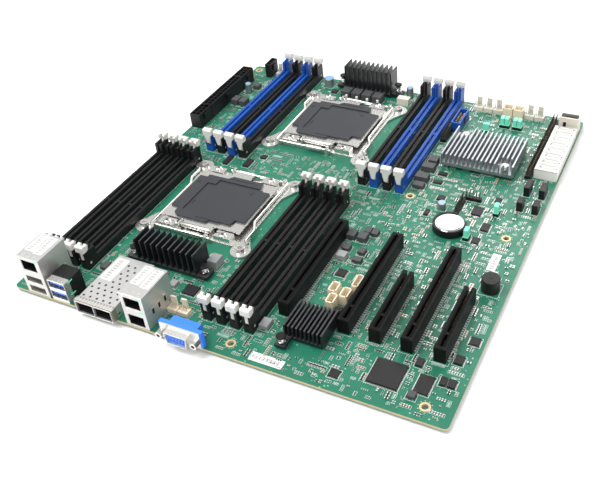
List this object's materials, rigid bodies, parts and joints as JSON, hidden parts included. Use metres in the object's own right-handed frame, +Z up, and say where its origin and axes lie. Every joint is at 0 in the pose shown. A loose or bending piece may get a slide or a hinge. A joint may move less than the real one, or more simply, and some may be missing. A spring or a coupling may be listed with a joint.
{
  "type": "server motherboard",
  "caption": "Rectangular server circuit board with two lidded processor sockets, memory banks with end latches, expansion slots, heat sinks and rear ports.",
  "frame": {"origin": "centre of the rear mounting hole on the expansion-slot side, at the board's underside", "axes": "+X along the rear edge towards the expansion-slot side, +Y from the rear connector edge to the front edge, +Z up through the component face"},
  "size_m": [0.305, 0.336, 0.0346],
  "materials": {
    "laminate": "gloss",
    "black_plastic": "matte",
    "white_plastic": "satin",
    "latch_plastic": "satin",
    "blue_plastic": "satin",
    "cover_plastic": "matte",
    "nickel_steel": "satin",
    "lever_steel": "polished",
    "cell_steel": "satin",
    "black_anodised": "satin",
    "bare_aluminium": "satin"
  },
  "bodies": {
    "board": {"circuit_board": "laminate", "memory_sockets": "black_plastic", "expansion_slots": "black_plastic", "processor_sockets": "black_plastic", "socket_frames": "nickel_steel", "socket_screws": "nickel_steel", "socket_backplates": "nickel_steel", "regulator_heatsinks": "black_anodised", "chipset_heatsink": "bare_aluminium", "push_pins": "white_plastic", "lan_ports": "nickel_steel", "usb3_stack": "nickel_steel", "sfp_cage": "nickel_steel", "vga_port": "blue_plastic", "storage_connectors": "white_plastic", "power_connectors": "black_plastic", "board_headers": "white_plastic", "surface_components": "black_plastic", "battery_holder": "black_plastic"},
    "coin_cell": {"coin_cell": "cell_steel"},
    "load_plate_1": {"load_plate_1": "nickel_steel"},
    "socket_cover_1": {"socket_cover_1": "cover_plastic"},
    "socket_lever_1_left": {"socket_lever_1_left": "lever_steel"},
    "socket_lever_1_right": {"socket_lever_1_right": "lever_steel"},
    "load_plate_2": {"load_plate_2": "nickel_steel"},
    "socket_cover_2": {"socket_cover_2": "cover_plastic"},
    "socket_lever_2_left": {"socket_lever_2_left": "lever_steel"},
    "socket_lever_2_right": {"socket_lever_2_right": "lever_steel"},
    "latch_a1_rear": {"latch_a1_rear": "latch_plastic"},
    "latch_a1_front": {"latch_a1_front": "latch_plastic"},
    "latch_a2_rear": {"latch_a2_rear": "latch_plastic"},
    "latch_a2_front": {"latch_a2_front": "latch_plastic"},
    "latch_a3_rear": {"latch_a3_rear": "latch_plastic"},
    "latch_a3_front": {"latch_a3_front": "latch_plastic"},
    "latch_a4_rear": {"latch_a4_rear": "latch_plastic"},
    "latch_a4_front": {"latch_a4_front": "latch_plastic"},
    "latch_b1_rear": {"latch_b1_rear": "latch_plastic"},
    "latch_b1_front": {"latch_b1_front": "latch_plastic"},
    "latch_b2_rear": {"latch_b2_rear": "latch_plastic"},
    "latch_b2_front": {"latch_b2_front": "latch_plastic"},
    "latch_b3_rear": {"latch_b3_rear": "latch_plastic"},
    "latch_b3_front": {"latch_b3_front": "latch_plastic"},
    "latch_b4_rear": {"latch_b4_rear": "latch_plastic"},
    "latch_b4_front": {"latch_b4_front": "latch_plastic"},
    "latch_c1_rear": {"latch_c1_rear": "latch_plastic"},
    "latch_c1_front": {"latch_c1_front": "latch_plastic"},
    "latch_c2_rear": {"latch_c2_rear": "latch_plastic"},
    "latch_c2_front": {"latch_c2_front": "latch_plastic"},
    "latch_c3_rear": {"latch_c3_rear": "latch_plastic"},
    "latch_c3_front": {"latch_c3_front": "latch_plastic"},
    "latch_c4_rear": {"latch_c4_rear": "latch_plastic"},
    "latch_c4_front": {"latch_c4_front": "latch_plastic"},
    "latch_d1_rear": {"latch_d1_rear": "latch_plastic"},
    "latch_d1_front": {"latch_d1_front": "latch_plastic"},
    "latch_d2_rear": {"latch_d2_rear": "latch_plastic"},
    "latch_d2_front": {"latch_d2_front": "latch_plastic"},
    "latch_d3_rear": {"latch_d3_rear": "latch_plastic"},
    "latch_d3_front": {"latch_d3_front": "latch_plastic"},
    "latch_d4_rear": {"latch_d4_rear": "latch_plastic"},
    "latch_d4_front": {"latch_d4_front": "latch_plastic"}
  },
  "joints": [
    {"name": "coin_cell_lift", "type": "slide", "parent": "board", "child": "coin_cell", "axis": [0, 0, 1], "range_m": [0, 0.012]},
    {"name": "load_plate_1_hinge", "type": "hinge", "parent": "board", "child": "load_plate_1", "pos_m": [-0.20259, 0.08234, 0.007], "axis": [1, 0, 0], "range_deg": [0, 100]},
    {"name": "socket_cover_1_lift", "type": "slide", "parent": "load_plate_1", "child": "socket_cover_1", "axis": [0, 0, 1], "range_m": [0, 0.012]},
    {"name": "socket_lever_1_left_hinge", "type": "hinge", "parent": "board", "child": "socket_lever_1_left", "pos_m": [-0.21659, 0.07674, 0.0055], "axis": [1, 0, 0], "range_deg": [0, 110]},
    {"name": "socket_lever_1_right_hinge", "type": "hinge", "parent": "board", "child": "socket_lever_1_right", "pos_m": [-0.18859, 0.15474, 0.0055], "axis": [-1, 0, 0], "range_deg": [0, 110]},
    {"name": "load_plate_2_hinge", "type": "hinge", "parent": "board", "child": "load_plate_2", "pos_m": [-0.17079, 0.21104, 0.007], "axis": [1, 0, 0], "range_deg": [0, 100]},
    {"name": "socket_cover_2_lift", "type": "slide", "parent": "load_plate_2", "child": "socket_cover_2", "axis": [0, 0, 1], "range_m": [0, 0.012]},
    {"name": "socket_lever_2_left_hinge", "type": "hinge", "parent": "board", "child": "socket_lever_2_left", "pos_m": [-0.18479, 0.20544, 0.0055], "axis": [1, 0, 0], "range_deg": [0, 110]},
    {"name": "socket_lever_2_right_hinge", "type": "hinge", "parent": "board", "child": "socket_lever_2_right", "pos_m": [-0.15679, 0.28344, 0.0055], "axis": [-1, 0, 0], "range_deg": [0, 110]},
    {"name": "latch_a1_rear_hinge", "type": "hinge", "parent": "board", "child": "latch_a1_rear", "pos_m": [-0.28314, 0.02524, 0.0058], "axis": [1, 0, 0], "range_deg": [0, 20]},
    {"name": "latch_a1_front_hinge", "type": "hinge", "parent": "board", "child": "latch_a1_front", "pos_m": [-0.28314, 0.15944, 0.0058], "axis": [-1, 0, 0], "range_deg": [0, 20]},
    {"name": "latch_a2_rear_hinge", "type": "hinge", "parent": "board", "child": "latch_a2_rear", "pos_m": [-0.27314, 0.02524, 0.0058], "axis": [1, 0, 0], "range_deg": [0, 20]},
    {"name": "latch_a2_front_hinge", "type": "hinge", "parent": "board", "child": "latch_a2_front", "pos_m": [-0.27314, 0.15944, 0.0058], "axis": [-1, 0, 0], "range_deg": [0, 20]},
    {"name": "latch_a3_rear_hinge", "type": "hinge", "parent": "board", "child": "latch_a3_rear", "pos_m": [-0.26314, 0.02524, 0.0058], "axis": [1, 0, 0], "range_deg": [0, 20]},
    {"name": "latch_a3_front_hinge", "type": "hinge", "parent": "board", "child": "latch_a3_front", "pos_m": [-0.26314, 0.15944, 0.0058], "axis": [-1, 0, 0], "range_deg": [0, 20]},
    {"name": "latch_a4_rear_hinge", "type": "hinge", "parent": "board", "child": "latch_a4_rear", "pos_m": [-0.25314, 0.02524, 0.0058], "axis": [1, 0, 0], "range_deg": [0, 20]},
    {"name": "latch_a4_front_hinge", "type": "hinge", "parent": "board", "child": "latch_a4_front", "pos_m": [-0.25314, 0.15944, 0.0058], "axis": [-1, 0, 0], "range_deg": [0, 20]},
    {"name": "latch_b1_rear_hinge", "type": "hinge", "parent": "board", "child": "latch_b1_rear", "pos_m": [-0.25169, 0.18104, 0.0058], "axis": [1, 0, 0], "range_deg": [0, 20]},
    {"name": "latch_b1_front_hinge", "type": "hinge", "parent": "board", "child": "latch_b1_front", "pos_m": [-0.25169, 0.31524, 0.0058], "axis": [-1, 0, 0], "range_deg": [0, 20]},
    {"name": "latch_b2_rear_hinge", "type": "hinge", "parent": "board", "child": "latch_b2_rear", "pos_m": [-0.24169, 0.18104, 0.0058], "axis": [1, 0, 0], "range_deg": [0, 20]},
    {"name": "latch_b2_front_hinge", "type": "hinge", "parent": "board", "child": "latch_b2_front", "pos_m": [-0.24169, 0.31524, 0.0058], "axis": [-1, 0, 0], "range_deg": [0, 20]},
    {"name": "latch_b3_rear_hinge", "type": "hinge", "parent": "board", "child": "latch_b3_rear", "pos_m": [-0.23169, 0.18104, 0.0058], "axis": [1, 0, 0], "range_deg": [0, 20]},
    {"name": "latch_b3_front_hinge", "type": "hinge", "parent": "board", "child": "latch_b3_front", "pos_m": [-0.23169, 0.31524, 0.0058], "axis": [-1, 0, 0], "range_deg": [0, 20]},
    {"name": "latch_b4_rear_hinge", "type": "hinge", "parent": "board", "child": "latch_b4_rear", "pos_m": [-0.22169, 0.18104, 0.0058], "axis": [1, 0, 0], "range_deg": [0, 20]},
    {"name": "latch_b4_front_hinge", "type": "hinge", "parent": "board", "child": "latch_b4_front", "pos_m": [-0.22169, 0.31524, 0.0058], "axis": [-1, 0, 0], "range_deg": [0, 20]},
    {"name": "latch_c1_rear_hinge", "type": "hinge", "parent": "board", "child": "latch_c1_rear", "pos_m": [-0.14859, 0.01514, 0.0058], "axis": [1, 0, 0], "range_deg": [0, 20]},
    {"name": "latch_c1_front_hinge", "type": "hinge", "parent": "board", "child": "latch_c1_front", "pos_m": [-0.14859, 0.14934, 0.0058], "axis": [-1, 0, 0], "range_deg": [0, 20]},
    {"name": "latch_c2_rear_hinge", "type": "hinge", "parent": "board", "child": "latch_c2_rear", "pos_m": [-0.13859, 0.01514, 0.0058], "axis": [1, 0, 0], "range_deg": [0, 20]},
    {"name": "latch_c2_front_hinge", "type": "hinge", "parent": "board", "child": "latch_c2_front", "pos_m": [-0.13859, 0.14934, 0.0058], "axis": [-1, 0, 0], "range_deg": [0, 20]},
    {"name": "latch_c3_rear_hinge", "type": "hinge", "parent": "board", "child": "latch_c3_rear", "pos_m": [-0.12859, 0.01514, 0.0058], "axis": [1, 0, 0], "range_deg": [0, 20]},
    {"name": "latch_c3_front_hinge", "type": "hinge", "parent": "board", "child": "latch_c3_front", "pos_m": [-0.12859, 0.14934, 0.0058], "axis": [-1, 0, 0], "range_deg": [0, 20]},
    {"name": "latch_c4_rear_hinge", "type": "hinge", "parent": "board", "child": "latch_c4_rear", "pos_m": [-0.11859, 0.01514, 0.0058], "axis": [1, 0, 0], "range_deg": [0, 20]},
    {"name": "latch_c4_front_hinge", "type": "hinge", "parent": "board", "child": "latch_c4_front", "pos_m": [-0.11859, 0.14934, 0.0058], "axis": [-1, 0, 0], "range_deg": [0, 20]},
    {"name": "latch_d1_rear_hinge", "type": "hinge", "parent": "board", "child": "latch_d1_rear", "pos_m": [-0.11739, 0.18104, 0.0058], "axis": [1, 0, 0], "range_deg": [0, 20]},
    {"name": "latch_d1_front_hinge", "type": "hinge", "parent": "board", "child": "latch_d1_front", "pos_m": [-0.11739, 0.31524, 0.0058], "axis": [-1, 0, 0], "range_deg": [0, 20]},
    {"name": "latch_d2_rear_hinge", "type": "hinge", "parent": "board", "child": "latch_d2_rear", "pos_m": [-0.10739, 0.18104, 0.0058], "axis": [1, 0, 0], "range_deg": [0, 20]},
    {"name": "latch_d2_front_hinge", "type": "hinge", "parent": "board", "child": "latch_d2_front", "pos_m": [-0.10739, 0.31524, 0.0058], "axis": [-1, 0, 0], "range_deg": [0, 20]},
    {"name": "latch_d3_rear_hinge", "type": "hinge", "parent": "board", "child": "latch_d3_rear", "pos_m": [-0.09739, 0.18104, 0.0058], "axis": [1, 0, 0], "range_deg": [0, 20]},
    {"name": "latch_d3_front_hinge", "type": "hinge", "parent": "board", "child": "latch_d3_front", "pos_m": [-0.09739, 0.31524, 0.0058], "axis": [-1, 0, 0], "range_deg": [0, 20]},
    {"name": "latch_d4_rear_hinge", "type": "hinge", "parent": "board", "child": "latch_d4_rear", "pos_m": [-0.08739, 0.18104, 0.0058], "axis": [1, 0, 0], "range_deg": [0, 20]},
    {"name": "latch_d4_front_hinge", "type": "hinge", "parent": "board", "child": "latch_d4_front", "pos_m": [-0.08739, 0.31524, 0.0058], "axis": [-1, 0, 0], "range_deg": [0, 20]}
  ]
}
